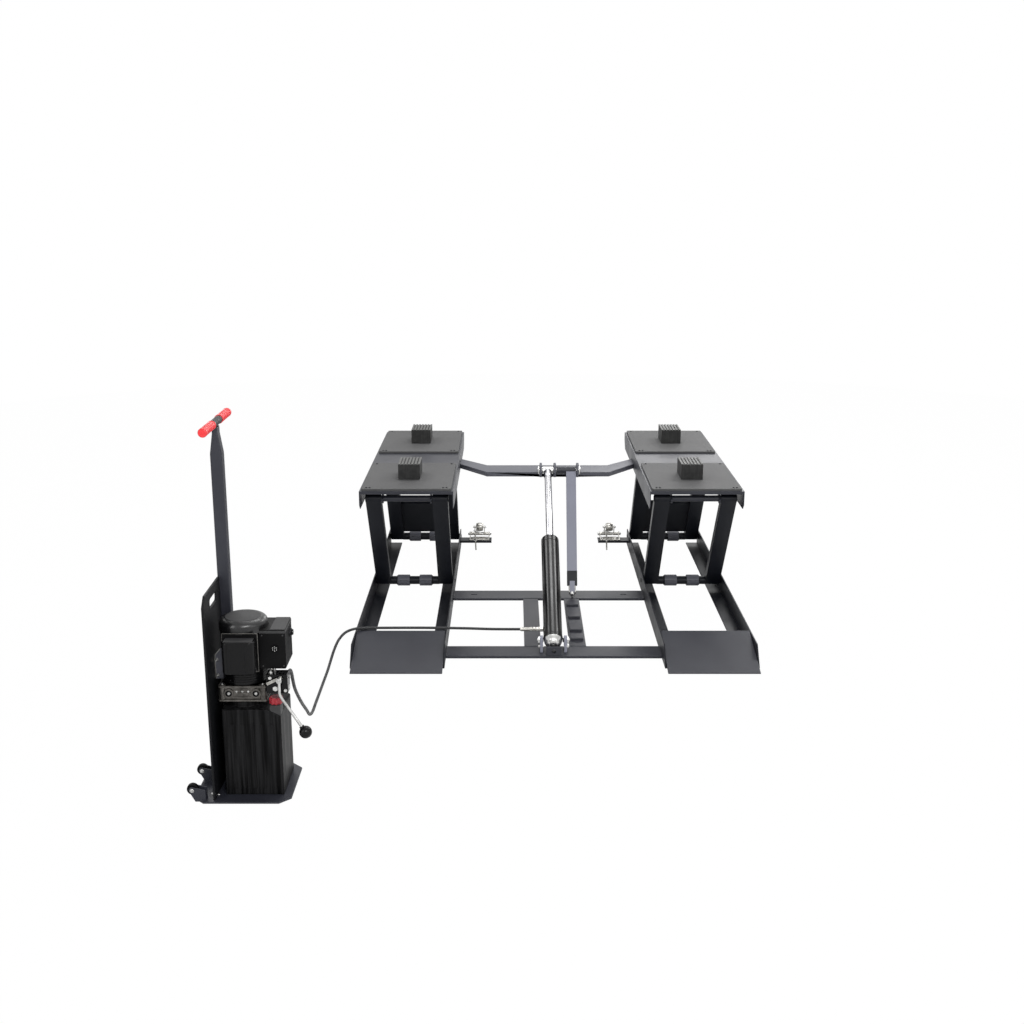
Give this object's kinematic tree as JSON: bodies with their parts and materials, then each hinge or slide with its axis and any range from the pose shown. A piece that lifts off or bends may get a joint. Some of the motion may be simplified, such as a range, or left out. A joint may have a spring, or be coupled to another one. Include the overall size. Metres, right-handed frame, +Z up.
{
  "type": "portable low-rise car lift",
  "caption": "Low-rise car lift with ramps, decks on parallel leg frames, one hydraulic cylinder, a lock leg, and a hose to a power unit on a cart.",
  "frame": {"origin": "on the floor, on the lift's centreline, under the middle of the mid cross member", "axes": "+Z up, +Y from the ramps towards the rear of the lift, +X to the right seen from the ramps"},
  "size_m": [2.21, 3.2731, 1.2915],
  "materials": {
    "painted_steel": "satin dark blue-grey powder coat",
    "light_painted_steel": "satin light blue-grey powder coat",
    "black_enamel": "gloss black enamel",
    "chrome_steel": "hard chrome, polished",
    "zinc_steel": "bright zinc plate",
    "cast_aluminium": "machined aluminium casting",
    "block_rubber": "moulded black rubber",
    "traction_mat": "gritty dark grey anti-slip mat",
    "red_plastic": "red plastic",
    "black_plastic": "black moulded plastic",
    "hose_rubber": "braided hydraulic hose cover"
  },
  "bodies": {
    "base": {"left_base_frame": "painted_steel", "right_base_frame": "painted_steel", "left_ramp": "painted_steel", "right_ramp": "painted_steel", "front_cross_member": "painted_steel", "mid_cross_member": "painted_steel", "tie_plate": "painted_steel", "ladder_plate": "painted_steel", "tow_socket": "painted_steel", "left_caster_shelf": "painted_steel", "right_caster_shelf": "painted_steel", "left_caster_bracket": "zinc_steel", "right_caster_bracket": "zinc_steel", "cart_floor_plate": "painted_steel", "cart_side_plate": "painted_steel", "handle_post": "painted_steel", "handle_bar": "black_plastic", "front_grip": "red_plastic", "rear_grip": "red_plastic", "oil_tank": "black_plastic", "valve_block": "cast_aluminium", "motor_body": "black_enamel", "motor_cap": "black_enamel", "capacitor_cover": "black_plastic", "control_box": "black_plastic", "motor_bracket": "cast_aluminium", "hose_outlet": "black_plastic", "hose": "hose_rubber", "hose_fitting": "zinc_steel"},
    "front_legs": {"left_front_leg_frame": "painted_steel", "right_front_leg_frame": "painted_steel"},
    "rear_legs": {"left_rear_leg_frame": "painted_steel", "right_rear_leg_frame": "painted_steel"},
    "platform": {"left_deck": "painted_steel", "right_deck": "painted_steel", "left_front_traction_plate": "traction_mat", "left_rear_traction_plate": "traction_mat", "right_front_traction_plate": "traction_mat", "right_rear_traction_plate": "traction_mat", "left_front_rubber_block": "block_rubber", "left_rear_rubber_block": "block_rubber", "right_front_rubber_block": "block_rubber", "right_rear_rubber_block": "block_rubber", "cross_bar": "painted_steel", "top_pin": "chrome_steel"},
    "rod": {"piston_rod": "chrome_steel"},
    "tube": {"cylinder_tube": "black_enamel", "gland_nut": "black_enamel"},
    "lock": {"lock_leg": "light_painted_steel"},
    "left_caster": {"left_caster_fork": "zinc_steel"},
    "left_roller": {"left_caster_wheel": "zinc_steel"},
    "right_caster": {"right_caster_fork": "zinc_steel"},
    "right_roller": {"right_caster_wheel": "zinc_steel"},
    "front_wheel": {"front_cart_wheel": "black_plastic"},
    "rear_wheel": {"rear_cart_wheel": "black_plastic"},
    "lever": {"valve_lever": "chrome_steel", "lever_knob": "black_plastic"},
    "button": {"start_button": "black_plastic"},
    "cap": {"filler_cap": "red_plastic"}
  },
  "joints": [
    {"name": "lift", "type": "hinge", "parent": "base", "child": "front_legs", "pos_m": [0, 0.105, 0.055], "axis": [1, 0, 0], "range_deg": [0, 54]},
    {"name": "deck_level", "type": "hinge", "parent": "front_legs", "child": "platform", "pos_m": [0, -0.28294, 0.58895], "axis": [1, 0, 0], "range_deg": [-54, 0]},
    {"name": "rear_lift", "type": "hinge", "parent": "base", "child": "rear_legs", "pos_m": [0, 0.934, 0.055], "axis": [1, 0, 0], "range_deg": [0, 54]},
    {"name": "rod_swing", "type": "hinge", "parent": "platform", "child": "rod", "pos_m": [-0.002, 0.24906, 0.60495], "axis": [1, 0, 0], "range_deg": [-27, 0]},
    {"name": "ram_stroke", "type": "slide", "parent": "rod", "child": "tube", "axis": [0, 0.8852, 0.4652], "range_m": [0, 0.4069]},
    {"name": "lock_swing", "type": "hinge", "parent": "platform", "child": "lock", "pos_m": [0.1135, 0.24906, 0.60495], "axis": [1, 0, 0], "range_deg": [-62.4, 0]},
    {"name": "left_caster_fold", "type": "hinge", "parent": "base", "child": "left_caster", "pos_m": [-0.372, 0.89, 0.082], "axis": [1, 0, 0], "range_deg": [-170, 0]},
    {"name": "left_roller_spin", "type": "hinge", "parent": "left_caster", "child": "left_roller", "pos_m": [-0.372, 0.89, 0.122], "axis": [1, 0, 0], "continuous": true},
    {"name": "right_caster_fold", "type": "hinge", "parent": "base", "child": "right_caster", "pos_m": [0.372, 0.89, 0.082], "axis": [1, 0, 0], "range_deg": [-170, 0]},
    {"name": "right_roller_spin", "type": "hinge", "parent": "right_caster", "child": "right_roller", "pos_m": [0.372, 0.89, 0.122], "axis": [1, 0, 0], "continuous": true},
    {"name": "front_wheel_spin", "type": "hinge", "parent": "base", "child": "front_wheel", "pos_m": [-1.284, -2.198, 0.045], "axis": [0, 1, 0], "continuous": true},
    {"name": "rear_wheel_spin", "type": "hinge", "parent": "base", "child": "rear_wheel", "pos_m": [-1.284, -2.048, 0.045], "axis": [0, 1, 0], "continuous": true},
    {"name": "lever_turn", "type": "hinge", "parent": "base", "child": "lever", "pos_m": [-0.976, -2.167, 0.43], "axis": [0, 1, 0], "range_deg": [-20, 12]},
    {"name": "button_press", "type": "slide", "parent": "base", "child": "button", "axis": [-1, 0, 0], "range_m": [0, 0.004], "stiffness_N_per_m": 500},
    {"name": "cap_turn", "type": "hinge", "parent": "base", "child": "cap", "pos_m": [-0.995, -2.132, 0.336], "axis": [0, 0, 1], "range_deg": [0, 90]}
  ],
  "couplings": [
    {"joint": "deck_level", "follows": "lift", "ratio": -1},
    {"joint": "rear_lift", "follows": "lift", "ratio": 1},
    {"joint": "rod_swing", "follows": "lift", "ratio": -0.49809},
    {"joint": "ram_stroke", "follows": "lift", "m_per_rad": 0.43125},
    {"joint": "lock_swing", "follows": "lift", "ratio": -1.1537}
  ]
}
